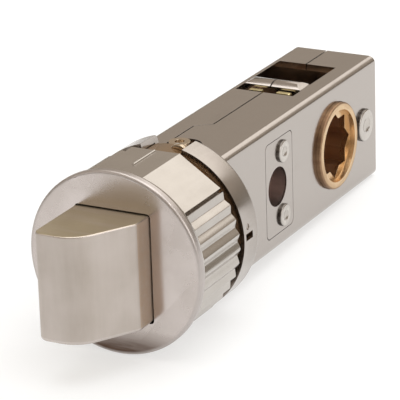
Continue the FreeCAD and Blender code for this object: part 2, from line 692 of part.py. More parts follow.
save(sleeve_key(-1), "sleeve_key_far")
save(sleeve_lug(), "sleeve_lug")
save(sleeve_pin(), "sleeve_pin")
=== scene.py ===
# %% [markdown]
# # A tubular door latch on a white sweep
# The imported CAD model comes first. Every piece below is made in its frame: metres, the middle of
# the faceplate at the origin, the bolt along +X and the hub's near face toward +Y.

# %% Load the frame
import json
import math
import bmesh
import bpy
from mathutils import Matrix, Vector


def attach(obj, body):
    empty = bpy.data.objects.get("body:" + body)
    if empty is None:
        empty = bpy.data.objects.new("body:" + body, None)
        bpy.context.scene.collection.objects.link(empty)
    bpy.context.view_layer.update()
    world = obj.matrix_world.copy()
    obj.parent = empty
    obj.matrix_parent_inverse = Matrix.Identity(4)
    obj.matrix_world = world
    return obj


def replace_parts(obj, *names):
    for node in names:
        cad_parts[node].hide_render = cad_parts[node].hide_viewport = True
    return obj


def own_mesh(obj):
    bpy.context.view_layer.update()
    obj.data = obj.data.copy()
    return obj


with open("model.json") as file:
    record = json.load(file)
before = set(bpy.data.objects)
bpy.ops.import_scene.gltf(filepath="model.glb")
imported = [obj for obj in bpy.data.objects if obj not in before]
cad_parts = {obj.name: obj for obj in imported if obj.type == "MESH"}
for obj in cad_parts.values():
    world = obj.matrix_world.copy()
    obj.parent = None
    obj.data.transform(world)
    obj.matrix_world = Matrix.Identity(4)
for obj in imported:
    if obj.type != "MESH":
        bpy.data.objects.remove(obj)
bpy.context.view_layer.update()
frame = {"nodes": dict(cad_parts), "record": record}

nodes = frame["nodes"]
MM = 0.001


def node_box(name):
    """Low and high corner of a CAD node, in mm."""
    thing = nodes[name]
    places = [thing.matrix_world @ vert.co / MM for vert in thing.data.vertices]
    return (Vector([min(place[axis] for place in places) for axis in range(3)]),
            Vector([max(place[axis] for place in places) for axis in range(3)]))


# %% [markdown]
# ## Camera
# The position and turn were fitted to the photograph: the eight points of the hub's star, the
# corners of the case and the rims of the disc and collar all land within about two pixels. The
# lens is 1.3 % longer than the fitted one, so that the drawn outline fills the same picture.

# %% Camera
camera_data = bpy.data.cameras.new("camera")
camera_data.sensor_width = 36
camera_data.lens = 239.8
camera_data.clip_start = 0.01
camera_data.clip_end = 20
camera = bpy.data.objects.new("camera", camera_data)
bpy.context.scene.collection.objects.link(camera)
right = Vector((-0.4650, 0.8847, -0.0310))
up = Vector((-0.3226, -0.1368, 0.9366))
back = Vector((0.8244, 0.4456, 0.3490))
turn = Matrix((right, up, back)).transposed().to_4x4()
camera.matrix_world = Matrix.Translation(Vector((0.31588, 0.18550, 0.14596))) @ turn
bpy.context.scene.camera = camera
print("camera looks along", [round(-v, 3) for v in back])

# %% [markdown]
# ## Node trees written as expressions
# Materials, the room and two of the pieces are node trees. Wiring each node by hand is long and
# hard to read, so a small class wraps a socket and a tree's maths reads as Python: `a * 0.5 + b`.
# Anything that isn't plain maths comes from one method, `node`.

# %% Socket wrapper


class Value:
    """An output socket, or a number, that can be added, multiplied and so on."""

    def __init__(self, tree, source):
        self.tree = tree
        self.source = source

    def combine(self, operation, other=None, swapped=False):
        maths = self.tree.nodes.new("ShaderNodeMath")
        maths.operation = operation
        pair = [self] if other is None else ([other, self] if swapped else [self, other])
        for place, item in enumerate(pair):
            feed(self.tree, item, maths.inputs[place])
        return Value(self.tree, maths.outputs[0])

    def __add__(self, other):
        return self.combine("ADD", other)

    def __radd__(self, other):
        return self.combine("ADD", other, True)

    def __sub__(self, other):
        return self.combine("SUBTRACT", other)

    def __rsub__(self, other):
        return self.combine("SUBTRACT", other, True)

    def __mul__(self, other):
        return self.combine("MULTIPLY", other)

    def __rmul__(self, other):
        return self.combine("MULTIPLY", other, True)

    def __truediv__(self, other):
        return self.combine("DIVIDE", other)

    def clamp(self):
        return self.combine("MAXIMUM", 0.0).combine("MINIMUM", 1.0)

    def ramp(self, low, high):
        """0 below low, 1 above high, straight between."""
        return ((self - low) * (1.0 / (high - low))).clamp()


def feed(tree, item, socket):
    """Puts a Value, a socket or a constant on an input socket."""
    if isinstance(item, Value):
        tree.links.new(item.source, socket)
    elif isinstance(item, bpy.types.NodeSocket):
        tree.links.new(item, socket)
    else:
        socket.default_value = item


class Board:
    """One material's or geometry's node tree."""

    def __init__(self, tree):
        self.tree = tree

    def node(self, kind, settings=None, **inputs):
        made = self.tree.nodes.new(kind)
        for key, value in (settings or {}).items():
            setattr(made, key, value)
        for key, item in inputs.items():
            feed(self.tree, item, made.inputs[key.replace("_", " ")])
        return made

    def value(self, kind, output, settings=None, **inputs):
        return Value(self.tree, self.node(kind, settings, **inputs).outputs[output])


print("sockets wrapped")

# %% [markdown]
# ## The floor
# The latch lies on the collar's rear edge and on the end of its case, so the floor leans about
# three degrees in this frame. One large plane is enough. It is pale and glows a little, because
# the photograph has almost no shadow and its white is full white.

# %% Floor
REST_FRONT = Vector((-14.0, 0, -14.0)) * MM
REST_REAR = Vector((-76.9, 0, -10.7)) * MM
lean = (REST_FRONT - REST_REAR).normalized()
floor_up = lean.cross(Vector((0, 1, 0))).normalized()
if floor_up.z < 0:
    floor_up = -floor_up
floor_turn = Matrix((lean, floor_up.cross(lean), floor_up)).transposed()


def on_floor(x, y, z=0.0):
    """Point at a place on the floor, in the floor's own axes."""
    return REST_FRONT + floor_turn @ Vector((x, y, z))


floor_mesh = bpy.data.meshes.new("floor")
half = 3.0
floor_mesh.from_pydata([on_floor(x, y) for x, y in ((-half, -half), (half, -half),
                                                    (half, half), (-half, half))],
                       [], [(0, 1, 2, 3)])
floor = bpy.data.objects.new("floor", floor_mesh)
bpy.context.scene.collection.objects.link(floor)
floor_paint = bpy.data.materials.new("floor_paint")
floor_paint.use_nodes = True
floor_shader = floor_paint.node_tree.nodes["Principled BSDF"]
floor_shader.inputs["Base Color"].default_value = (0.44, 0.457, 0.473, 1)
floor_shader.inputs["Emission Color"].default_value = (1.0, 0.99, 0.98, 1)
floor_shader.inputs["Emission Strength"].default_value = 0.58
floor_shader.inputs["Roughness"].default_value = 0.9
floor_shader.inputs["Specular IOR Level"].default_value = 0.1
floor_mesh.materials.append(floor_paint)
print("floor leans", round(math.degrees(floor_up.angle(Vector((0, 0, 1)))), 2), "degrees")

# %% [markdown]
# ## Lights and room
# Polished nickel has hardly any colour of its own: it shows whatever stands round it. So there
# are four large soft boxes, as in a product studio, and each one is there for the faces that it
# shows in: the tops, the near flat of the collar, the near side and the front of the bolt. The
# room between them is warm and goes from dark at the floor's level to mid grey above. A picture
# of a room would do the same, but two colours and a height are easier to tune.

# %% Lights
LIGHTS = (
    ("overhead", (-0.10, 0.10, 0.95), (0.0, 0.0, 0.0), (1.1, 1.1), 7.0, (0.97, 0.99, 1.0)),
    ("behind_high", (-0.90, 0.16, 0.70), (-0.03, 0.0, 0.0), (0.9, 0.46), 1.42, (0.98, 0.98, 0.96)),
    ("near_side", (0.15, 1.00, 0.45), (-0.03, 0.0, 0.0), (0.9, 0.6), 3.2, (0.98, 0.99, 1.0)),
    ("front_left", (0.75, -0.75, 0.50), (0.0, 0.0, 0.0), (0.8, 0.5), 0.8, (0.97, 0.98, 1.0)),
)
for name, place, target, size, power, colour in LIGHTS:
    light = bpy.data.lights.new(name, "AREA")
    light.shape = "RECTANGLE"
    light.size, light.size_y = size
    light.energy = power
    light.color = colour
    lamp = bpy.data.objects.new(name, light)
    aim = Vector(target) - Vector(place)
    lamp.matrix_world = (Matrix.Translation(Vector(place))
                         @ aim.to_track_quat("-Z", "Y").to_matrix().to_4x4())
    bpy.context.scene.collection.objects.link(lamp)
print(len(LIGHTS), "soft boxes")

# %% Room
ROOM_LOW = (0.17, 0.145, 0.11, 1)
ROOM_HIGH = (0.56, 0.49, 0.415, 1)
world = bpy.data.worlds.new("room")
world.use_nodes = True
room = Board(world.node_tree)
direction = room.node("ShaderNodeTexCoord").outputs["Generated"]
height = room.value("ShaderNodeSeparateXYZ", "Z", None, Vector=direction)
room_colour = room.node("ShaderNodeMix", {"data_type": "RGBA"})
feed(room.tree, height.ramp(0.0, 0.30), room_colour.inputs["Factor"])
room_colour.inputs[6].default_value = ROOM_LOW
room_colour.inputs[7].default_value = ROOM_HIGH
room.tree.links.new(room_colour.outputs[2], room.tree.nodes["Background"].inputs["Color"])
bpy.context.scene.world = world
bpy.context.scene.view_settings.view_transform = "Standard"
print("room from", ROOM_LOW[:3], "to", ROOM_HIGH[:3])

# %% [markdown]
# ## Where a metal changes
# Here one piece isn't one colour, and most of its changes are painted light and shade: the bolt's
# top is painted darker and olive and its flat flank brown, as painted reflections; the hub's rim
# and outer wall are painted dark as shade, and its middle and star hole are darker bronze; the
# disc is painted darker and browner low down, a painted reflection of the shadowed floor, and its
# rim darker to mute its highlight; the rivets' sides are painted dark as shade, and the block's
# bore is painted paler, as painted light. A tint is a colour that takes over along a measure:
# where a face looks, or how far a point lies from something.
# The two directions are attributes that the pieces below write on their faces. Painting the
# places by hand would work too, but a measure follows the piece when its size changes.

# %% Tint measures


def blend(board, share, colour, other):
    """Colour that goes over to another one by the given share."""
    mixed = board.node("ShaderNodeMix", {"data_type": "RGBA"})
    feed(board.tree, share, mixed.inputs["Factor"])
    feed(board.tree, colour, mixed.inputs[6])
    mixed.inputs[7].default_value = (*other, 1)
    return mixed.outputs[2]


def near_face(name):
    """Middle and radius in mm of the round near face of a node."""
    places = [vert.co / MM for vert in nodes[name].data.vertices]
    face_y = max(place.y for place in places)
    rim = [place for place in places if place.y > face_y - 0.05]
    left, right = min(place.x for place in rim), max(place.x for place in rim)
    return Vector(((left + right) / 2, 0, 0)), (right - left) / 2


def measure(board, place, kind):
    """What a tint follows: where a face looks, or where it lies in mm."""
    if kind.startswith("facing"):
        return board.value("ShaderNodeAttribute", "Fac", {"attribute_name": kind})
    axes = board.node("ShaderNodeSeparateXYZ", None, Vector=place).outputs
    if kind in ("off_hub", "off_axis"):
        across = "X" if kind == "off_hub" else "Y"
        flat = board.node("ShaderNodeCombineXYZ", None, Z=axes["Z"], **{across: axes[across]})
        away = board.node("ShaderNodeVectorMath", {"operation": "DISTANCE"})
        feed(board.tree, flat.outputs[0], away.inputs[0])
        away.inputs[1].default_value = hub_middle * MM if kind == "off_hub" else (0, 0, 0)
        return Value(board.tree, away.outputs["Value"]) * (1 / MM)
    if kind == "off_middle":
        return Value(board.tree, axes["Y"]).combine("ABSOLUTE") * (1 / MM)
    return Value(board.tree, axes["Z"]) * (1 / MM)


hub_middle, hub_radius = near_face("hub")
print("hub face:", round(hub_middle.x, 2), "mm along X, radius", round(hub_radius, 2), "mm")

# %% [markdown]
# ## Metals
# One recipe serves the nickel, bronze, zinc and steel, because they are made the same way:
# rolled or turned, plated, and handled. Fine grain runs along one axis and moves the roughness
# and a very shallow bump. Wide soft smudges change the colour and the polish a little. Edges
# carry an attribute from the modelling below, and are brighter and smoother there, the way
# handling rubs plated metal.

# %% Metal recipe
DULLER = 0.12
RELIEF_DEEP = 0.04 * MM


def metal(name, colour, shade, rough, grain, grain_size, stretch, bump, spots=0.0, tints=()):
    """Plated or bare metal. grain is its share of roughness, stretch its scale along X, Y and Z.

    Each tint is a measure, a colour, and the two numbers where it starts and where it is full.
    A tinted place is duller too.
    """
    material = bpy.data.materials.new(name)
    material.use_nodes = True
    board = Board(material.node_tree)
    shader = material.node_tree.nodes["Principled BSDF"]
    place = board.node("ShaderNodeTexCoord").outputs["Object"]
    moved = board.node("ShaderNodeMapping", None, Vector=place)
    moved.inputs["Scale"].default_value = stretch
    streaks = board.value("ShaderNodeTexNoise", "Fac", None, Vector=moved.outputs["Vector"],
                          Scale=grain_size, Detail=5.0, Roughness=0.62)
    clouds = board.value("ShaderNodeTexNoise", "Fac", None, Vector=place,
                         Scale=150.0, Detail=3.0, Roughness=0.5)
    specks = board.value("ShaderNodeTexNoise", "Fac", None, Vector=place,
                         Scale=2600.0, Detail=2.0, Roughness=0.6)
    patches = board.value("ShaderNodeTexNoise", "Fac", None, Vector=moved.outputs["Vector"],
                          Scale=grain_size * 0.16, Detail=3.0, Roughness=0.55)
    worn = board.value("ShaderNodeAttribute", "Fac", {"attribute_name": "edge_wear"})
    grime = clouds.ramp(0.35, 0.75)
    pits = specks.ramp(0.66, 0.78) * spots
    mixed = board.node("ShaderNodeMix", {"data_type": "RGBA"})
    feed(board.tree, (grime * 0.35 + patches.ramp(0.3, 0.7) * 0.35 + streaks * 0.3 + pits
                      - worn * 0.6).clamp(),
         mixed.inputs["Factor"])
    mixed.inputs[6].default_value = (*colour, 1)
    mixed.inputs[7].default_value = (*shade, 1)
    paint = mixed.outputs[2]
    dull = 0.0
    if tints:
        cuts = board.node("ShaderNodeMapping", None, Vector=place)
        cuts.inputs["Scale"].default_value = (1.0, 0.1, 1.0)
        cuts.inputs["Rotation"].default_value = (0, 0, math.radians(-18))
        lines = board.value("ShaderNodeTexNoise", "Fac", None, Vector=cuts.outputs["Vector"],
                            Scale=800.0, Detail=4.0, Roughness=0.6)
        for kind, tint, start, full in tints:
            share = measure(board, place, kind).ramp(start, full)
            dull = share * DULLER + dull
            paint = blend(board, share * (0.30 + lines * 1.2).clamp(), paint, tint)
    feed(board.tree, paint, shader.inputs["Base Color"])
    shader.inputs["Metallic"].default_value = 1.0
    feed(board.tree, (rough + (streaks - 0.5) * grain + grime * (rough * 0.25) + pits * 0.2
                      - worn * (rough * 0.35) + dull).clamp(), shader.inputs["Roughness"])
    relief = board.node("ShaderNodeBump", None, Height=(streaks * 0.8 + specks * 0.2))
    relief.inputs["Strength"].default_value = bump
    relief.inputs["Distance"].default_value = RELIEF_DEEP
    feed(board.tree, relief.outputs["Normal"], shader.inputs["Normal"])
    return material


print("recipe ready; a full tint adds", DULLER, "to the roughness")

# %% [markdown]
# ## The twelve metals
# The first colour is clean metal and the second is where smudges and grain lie. Then come the
# roughness, the share and the size of the grain, its stretch, and the bump. Sheet is brushed
# lengthwise, the bolt upright, and turned pieces have no direction. Ten metals are the CAD
# model's slots. The block, whose bore is painted paler as painted light, and the browned lug and
# pin have one of their own.

# %% Nickel
LENGTHWISE = (0.12, 1.0, 1.0)
UPRIGHT = (1.0, 1.0, 0.12)
ROUND = (1.0, 1.0, 1.0)
disc_r = node_box("faceplate_disc")[1].y
polished = metal("nickel_polished", (0.575, 0.52, 0.495), (0.49, 0.44, 0.41),
                 0.25, 0.06, 900.0, ROUND, 0.06,
                 # Painted reflection: the disc is painted dark brown low down, for the shadowed
                 # floor it mirrors.
                 tints=[("height", (0.08, 0.04, 0.022), -9.8, -13.4),
                        # Painted shade: the disc's rim is painted darker, to mute the highlight
                        # along it; it is duller there too.
                        ("off_axis", (0.47, 0.43, 0.41), disc_r - 0.65, disc_r - 0.30)])
collar_metal = metal("nickel_collar", (0.54, 0.505, 0.47), (0.45, 0.415, 0.38),
                     0.20, 0.08, 900.0, LENGTHWISE, 0.15)
satin = metal("nickel_satin", (0.44, 0.40, 0.37), (0.33, 0.295, 0.265),
              0.24, 0.14, 800.0, LENGTHWISE, 0.35)
bolt_metal = metal("nickel_bolt", (0.555, 0.50, 0.465), (0.425, 0.375, 0.33),
                   0.40, 0.16, 900.0, UPRIGHT, 0.4,
                   # Painted reflection: the bolt's top is painted darker and olive, for the warm
                   # room it mirrors.
                   tints=[("facing_up", (0.47, 0.405, 0.285), 0.75, 0.95),
                          # Painted reflection: the bolt's flat flank is painted brown, for the
                          # dark it mirrors.
                          ("facing_side", (0.49, 0.385, 0.30), 0.90, 0.99)])
block_face = node_box("through_block")[1].y
block_metal = metal("nickel_block", (0.44, 0.40, 0.37), (0.33, 0.295, 0.265),
                    0.24, 0.14, 800.0, LENGTHWISE, 0.35,
                    # Painted light: the block's bore is painted paler, for light inside the hole.
                    tints=[("off_middle", (0.68, 0.58, 0.55), block_face - 0.1, block_face - 0.5)])
rivet_metal = metal("nickel_rivet", (0.60, 0.56, 0.52), (0.46, 0.425, 0.39),
                    0.20, 0.08, 1200.0, ROUND, 0.15,
                    # Painted shade: where a rivet's face turns away from the side, round the rim
                    # of its head, it is painted nearly black as shade.
                    tints=[("facing_side", (0.06, 0.05, 0.045), 0.92, 0.40),
                           ("off_middle", (0.54, 0.50, 0.46), 6.5, 5.5)])
print("nickel for the disc, collar, case, bolt, block and rivets")

# %% Bronze, zinc and steel
gold = metal("bronze_gold", (0.66, 0.47, 0.28), (0.46, 0.30, 0.16),
             0.30, 0.14, 900.0, ROUND, 0.4, 0.35,
             tints=[("off_middle", (0.53, 0.355, 0.235), 7.6, 6.2),
                    # Painted shade: the hub's outer rim and side wall are painted dark brown as
                    # shade.
                    ("off_hub", (0.27, 0.165, 0.10), hub_radius - 0.25, hub_radius - 0.05)])
trim_metal = metal("nickel_trim", (0.53, 0.43, 0.32), (0.28, 0.20, 0.13),
                   0.24, 0.14, 900.0, ROUND, 0.35, 0.5)
dark_bronze = metal("bronze_dark", (0.40, 0.285, 0.18), (0.22, 0.15, 0.09),
                    0.30, 0.12, 900.0, ROUND, 0.30, 0.4)
zinc = metal("zinc_yellow", (0.90, 0.80, 0.46), (0.72, 0.60, 0.32),
             0.46, 0.12, 700.0, ROUND, 0.30, 0.2)
plain_steel = metal("steel_plain", (0.42, 0.41, 0.40), (0.30, 0.29, 0.28),
                    0.34, 0.15, 900.0, ROUND, 0.35, 0.3)
spring_wire = metal("spring_steel", (0.35, 0.35, 0.36), (0.22, 0.22, 0.23),
                    0.28, 0.10, 1500.0, ROUND, 0.30, 0.2)
print("bronze, zinc and steel for the hub, sleeve, strap and spring")

# %% Metals on the pieces
SLOT_METALS = {"nickel_polished": polished, "nickel_collar": collar_metal,
               "nickel_satin": satin, "nickel_bolt": bolt_metal, "nickel_rivet": rivet_metal,
               "bronze_gold": gold, "bronze_dark": dark_bronze, "zinc_yellow": zinc,
               "steel_plain": plain_steel, "spring_steel": spring_wire}
node_slot = {entry["node"]: entry["material_slot"] for entry in frame["record"]["subparts"]}
body_of_node = {}
for body, members in frame["record"]["behaviour"]["bodies"].items():
    for member in members:
        body_of_node[member] = body
for name, thing in nodes.items():
    thing.data.materials.clear()
    thing.data.materials.append(SLOT_METALS[node_slot[name]])
OWN_METALS = {"through_block": block_metal, "sleeve_lug": trim_metal,
              "sleeve_pin": trim_metal}
print(len(SLOT_METALS), "metals on", len(nodes), "CAD nodes,", len(OWN_METALS), "with their own")

# %% [markdown]
# ## Putting a mesh in the scene
# Every finished mesh goes the same way: onto the body that it moves with, with its metal, and
# with the two attributes that say where each face looks. Weighted normals keep the large faces
# flat and let the small rounds between them bend the light.

# %% Finished pieces
CREASE = 38


def finish_mesh(mesh, name, body, slot_name):
    """Puts a finished mesh in the scene as a piece of a body."""
    piece = bpy.data.objects.new(name, mesh)
    bpy.context.scene.collection.objects.link(piece)
    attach(piece, body)
    if not mesh.materials:
        mesh.materials.append(SLOT_METALS[slot_name])
    for label, axis in (("facing_up", 2), ("facing_side", 1)):
        facing = mesh.attributes.new(label, "FLOAT", "FACE")
        facing.data.foreach_set("value", [abs(face.normal[axis]) for face in mesh.polygons])
    return piece


def mark_sharp(bm, angle):
    """Shades all faces smooth, but not across edges that bend by more than the angle."""
    limit = math.radians(angle)
    for face in bm.faces:
        face.smooth = True
    for edge in bm.edges:
        edge.smooth = len(edge.link_faces) == 2 and edge.calc_face_angle(0) < limit


def weigh_normals(mesh):
    """Large faces keep their own direction; the small rounds between them bend the light."""
    holder = bpy.data.objects.new("holder", mesh)
    bpy.context.scene.collection.objects.link(holder)
    weighted = holder.modifiers.new("weighted", "WEIGHTED_NORMAL")
    weighted.keep_sharp = True
    weighted.weight = 100
    graph = bpy.context.evaluated_depsgraph_get()
    made = bpy.data.meshes.new_from_object(holder.evaluated_get(graph))
    bpy.data.objects.remove(holder)
    return made


print("bodies:", sorted(set(body_of_node.values())))

# %% [markdown]
# ## Broken edges
# Real sheet and turned parts have no knife edges: a thin bright line runs along each one. Each
# visible CAD piece is copied, its triangles are joined back into flat faces, and the remaining
# edges get a small round. A bevel modifier would give the same round, but here its faces can be
# marked as they are made, so that the metals can polish them.

# %% Edge rounding
WELD = 0.002 * MM
SLIVER = 0.001 * MM
FLAT_WITHIN = math.radians(0.6)
BREAK_OVER = 32.0


def broken_edges(node, width, segments=2, over=BREAK_OVER):
    """Copy of a CAD node with small rounds on its edges."""
    source = nodes[node]
    bm = bmesh.new()
    bm.from_mesh(source.data)
    bmesh.ops.remove_doubles(bm, verts=bm.verts, dist=WELD)
    bmesh.ops.dissolve_degenerate(bm, edges=bm.edges, dist=SLIVER)
    bmesh.ops.dissolve_limit(bm, angle_limit=FLAT_WITHIN, verts=bm.verts, edges=bm.edges)
    wear = bm.verts.layers.float.new("edge_wear")
    limit = math.radians(over)
    sharp = [e for e in bm.edges if len(e.link_faces) == 2 and e.calc_face_angle(0) > limit]
    made = bmesh.ops.bevel(bm, geom=sharp, offset=width * MM, offset_type="WIDTH",
                           segments=segments, profile=0.5, affect="EDGES", clamp_overlap=True)
    for face in made["faces"]:
        for vert in face.verts:
            vert[wear] = 1.0
    mark_sharp(bm, CREASE)
    mesh = bpy.data.meshes.new(node + "_soft")
    bm.to_mesh(mesh)
    bm.free()
    mesh = weigh_normals(mesh)
    mesh.name = node + "_soft"
    if node in OWN_METALS:
        mesh.materials.append(OWN_METALS[node])
    piece = finish_mesh(mesh, node + "_soft", body_of_node[node], node_slot[node])
    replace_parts(piece, node)
    return piece


print("edges sharper than", BREAK_OVER, "degrees will be broken")

# %% Edges of the CAD pieces
EDGE_WIDTHS = {"faceplate_disc": 0.12, "guide_sleeve": 0.15, "case_near_half": 0.16,
               "case_far_half": 0.16, "retractor_strap": 0.15, "through_block": 0.12,
               "block_rivet_upper": 0.10, "block_rivet_lower": 0.10, "rear_rivet": 0.12,
               "hub": 0.16, "sleeve_lug": 0.12, "sleeve_pin": 0.10,
               "sleeve_key_near": 0.08, "sleeve_key_far": 0.08, "spring_guide": 0.10,
               "spring_seat": 0.10, "strap_rivet_upper": 0.10, "strap_rivet_lower": 0.10,
               "rear_spacer": 0.15}
for node, width in EDGE_WIDTHS.items():
    piece = broken_edges(node, width)
    print(piece.name, len(piece.data.polygons), "faces")

# %% [markdown]
# ## Shapes from nodes
# The collar and the spring follow a rule, so each is a Geometry Nodes tree that this script
# builds. The tree's inputs are named sizes. It is evaluated once, and the plain mesh is kept.

# %% Tree helpers


def tree_with(name, inputs):
    """Geometry tree with named number inputs; also gives each input as a Value."""
    tree = bpy.data.node_groups.new(name, "GeometryNodeTree")
    values = {}
    group_in = tree.nodes.new("NodeGroupInput")
    for label, number in inputs.items():
        kind = "NodeSocketInt" if isinstance(number, int) else "NodeSocketFloat"
        tree.interface.new_socket(name=label, in_out="INPUT", socket_type=kind)
    tree.interface.new_socket(name="Geometry", in_out="OUTPUT", socket_type="NodeSocketGeometry")
    for label in inputs:
        values[label] = Value(tree, group_in.outputs[label])
    return Board(tree), values


def close_tree(board, geometry, material):
    """Ends the tree: instances made real, material set, geometry out."""
    real = board.node("GeometryNodeRealizeInstances", None, Geometry=geometry)
    painted = board.node("GeometryNodeSetMaterial", None, Geometry=real.outputs["Geometry"])
    painted.inputs["Material"].default_value = material
    out = board.tree.nodes.new("NodeGroupOutput")
    board.tree.links.new(painted.outputs["Geometry"], out.inputs["Geometry"])


def mesh_from(board, inputs, name):
    """Evaluates the tree once with the given inputs and keeps the plain mesh."""
    holder = bpy.data.objects.new(name + "_holder", bpy.data.meshes.new(name + "_empty"))
    bpy.context.scene.collection.objects.link(holder)
    modifier = holder.modifiers.new("shape", "NODES")
    modifier.node_group = board.tree
    for item in board.tree.interface.items_tree:
        if item.in_out == "INPUT":
            modifier[item.identifier] = inputs[item.name]
    graph = bpy.context.evaluated_depsgraph_get()
    mesh = bpy.data.meshes.new_from_object(holder.evaluated_get(graph))
    holder.modifiers.remove(modifier)
    bpy.data.objects.remove(holder)
    mesh.name = name
    return mesh


def broken_line(place, points):
    """Value that runs straight through the given numbers at place = 0, 1, 2 and so on."""
    total = points[0]
    for number in range(len(points) - 1):
        step = points[number + 1] - points[number]
        if isinstance(step, Value) or step != 0:
            total = place.ramp(number, number + 1) * step + total
    return total


print("tree helpers ready")

# %% [markdown]
# ## The fluted collar
# This is the ring that is driven into the door's edge: flutes that bite, two flats, a groove and
# a seam rib. It is a grid rolled into a ring. One side of the grid runs round the collar, the
# other follows its section: front face, plain band, flutes, rear rim and bore. The flutes, the
# groove and the flats are one radius that depends on the angle. Cutting thirty grooves out of a
# ring would work as well, but then no two of them could differ a little, as rolled ones do.

# %% Collar sizes
collar_low, collar_high = node_box("fluted_collar")
collar_r = max(-collar_low.z, collar_high.y)
COLLAR = {"Radius": collar_r * MM, "Bore": (collar_r - 1.5) * MM,
          "Front": collar_high.x * MM, "Band": -2.5 * MM, "Rear": collar_low.x * MM,
          "Depth": 0.5 * MM, "Groove": 0.8 * MM, "Soft": 0.18 * MM,
          "Flutes": 30, "Columns": 1801, "Seed": 7}
FLUTES_FROM = math.radians(107.0)
FLUTES_LONG = math.radians(289.5)
FLAT_LONG = math.radians(34.0)
SECTION_ROWS = 11
print("collar box:", [round(v, 2) for v in (*collar_low, *collar_high)])

# %% Radius round the collar
board, given = tree_with("fluted_collar_shape", COLLAR)
grid = board.node("GeometryNodeMeshGrid", None, Size_X=1.0, Size_Y=1.0,
                  Vertices_Y=SECTION_ROWS)
feed(board.tree, given["Columns"], grid.inputs["Vertices X"])
where = board.node("ShaderNodeSeparateXYZ",
                   None, Vector=board.node("GeometryNodeInputPosition").outputs[0])
turned = (Value(board.tree, where.outputs["X"]) + 0.5) * math.tau
row = (Value(board.tree, where.outputs["Y"]) + 0.5) * (SECTION_ROWS - 1)
in_flute = turned * (given["Flutes"] * (1.0 / FLUTES_LONG))
number = in_flute.combine("FLOOR")
along = in_flute - number
peak = (along * 2.0 - 1.0).combine("ABSOLUTE")
wave = (along * math.tau).combine("COSINE") * -0.5 + 0.5
chance = board.value("ShaderNodeTexWhiteNoise", "Value", {"noise_dimensions": "2D"},
                     Vector=board.node("ShaderNodeCombineXYZ", None, X=number, Y=given["Seed"])
                     .outputs[0])
cut = ((1.0 - peak) * 0.7 + wave * 0.3) * given["Depth"] * (chance * 0.14 + 0.93)
is_flute = turned.combine("LESS_THAN", FLUTES_LONG)
past = math.tau - 2 * FLAT_LONG
gap_half = (past - FLUTES_LONG) / 2
dip = (1.0 - (turned - (FLUTES_LONG + gap_half)).combine("ABSOLUTE") * (1 / gap_half)).clamp()
flat_turn = turned.combine("GREATER_THAN", math.tau - FLAT_LONG) * FLAT_LONG
from_middle = turned - (past + FLAT_LONG / 2) - flat_turn
is_flat = turned.combine("GREATER_THAN", past)
chord = given["Radius"] * math.cos(FLAT_LONG / 2) / from_middle.combine("COSINE")
worked = ((given["Radius"] - cut) * is_flute + chord * is_flat
          + (given["Radius"] - dip * given["Groove"]) * (1.0 - is_flute) * (1.0 - is_flat))
print("round the collar:", COLLAR["Columns"], "columns,", COLLAR["Flutes"], "flutes")

# %% Section of the collar
soft = given["Soft"]
radius = broken_line(row, [given["Bore"], given["Radius"], given["Radius"],
                           given["Radius"] - soft * 0.4, worked, worked, worked - soft * 0.3,
                           worked - soft, given["Bore"] + soft, given["Bore"], given["Bore"]])
far = broken_line(row, [given["Front"], given["Front"], given["Band"] + soft, given["Band"],
                        given["Band"] - soft * 0.8, given["Rear"] + soft,
                        given["Rear"] + soft * 0.3, given["Rear"], given["Rear"],
                        given["Rear"] + soft, given["Front"]])
angle = turned + FLUTES_FROM
ring = board.node("ShaderNodeCombineXYZ", None, X=far, Y=radius * angle.combine("COSINE"),
                  Z=radius * angle.combine("SINE"))
rolled = board.node("GeometryNodeSetPosition", None, Geometry=grid.outputs["Mesh"],
                    Position=ring.outputs[0])
tip_wear = is_flute * peak.ramp(0.72, 0.98) * row.ramp(3.5, 4.0) * (1.0 - row.ramp(7.0, 7.5))
marked = board.node("GeometryNodeStoreNamedAttribute",
                    {"data_type": "FLOAT", "domain": "POINT"},
                    Geometry=rolled.outputs["Geometry"], Name="edge_wear", Value=tip_wear)
joined = board.node("GeometryNodeMergeByDistance", None, Geometry=marked.outputs["Geometry"],
                    Distance=1e-6)
print("along the section:", SECTION_ROWS, "rows")

# %% Seam rib and collar mesh
RIB_FRONT, RIB_REAR, RIB_R = -6.8, -13.4, 0.275
rib_up = collar_r * math.cos(FLAT_LONG / 2) - 0.02
rib_path = board.node("GeometryNodeCurvePrimitiveLine", None,
                      Start=Vector((RIB_FRONT, 0, rib_up)) * MM,
                      End=Vector((RIB_REAR, 0, rib_up)) * MM)
rib_section = board.node("GeometryNodeCurvePrimitiveCircle", None, Resolution=24,
                         Radius=RIB_R * MM)
rib = board.node("GeometryNodeCurveToMesh", None, Curve=rib_path.outputs["Curve"],
                 Profile_Curve=rib_section.outputs["Curve"], Fill_Caps=True)
both = board.node("GeometryNodeJoinGeometry")
board.tree.links.new(rib.outputs["Mesh"], both.inputs["Geometry"])
board.tree.links.new(joined.outputs["Geometry"], both.inputs["Geometry"])
close_tree(board, both.outputs["Geometry"], collar_metal)
collar_mesh = mesh_from(board, COLLAR, "collar_fluted")


def outward(mesh, sharp_over):
    """Turns all faces outward and marks the sharp edges."""
    bm = bmesh.new()
    bm.from_mesh(mesh)
    bmesh.ops.recalc_face_normals(bm, faces=bm.faces)
    mark_sharp(bm, sharp_over)
    bm.to_mesh(mesh)
    bm.free()


outward(collar_mesh, CREASE)
collar_mesh = weigh_normals(collar_mesh)
collar_mesh.name = "collar_fluted"
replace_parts(finish_mesh(collar_mesh, "collar_fluted", "latch_case", "nickel_collar"),
            "fluted_collar")
print("collar:", len(collar_mesh.vertices), "points,", COLLAR["Flutes"], "flutes")
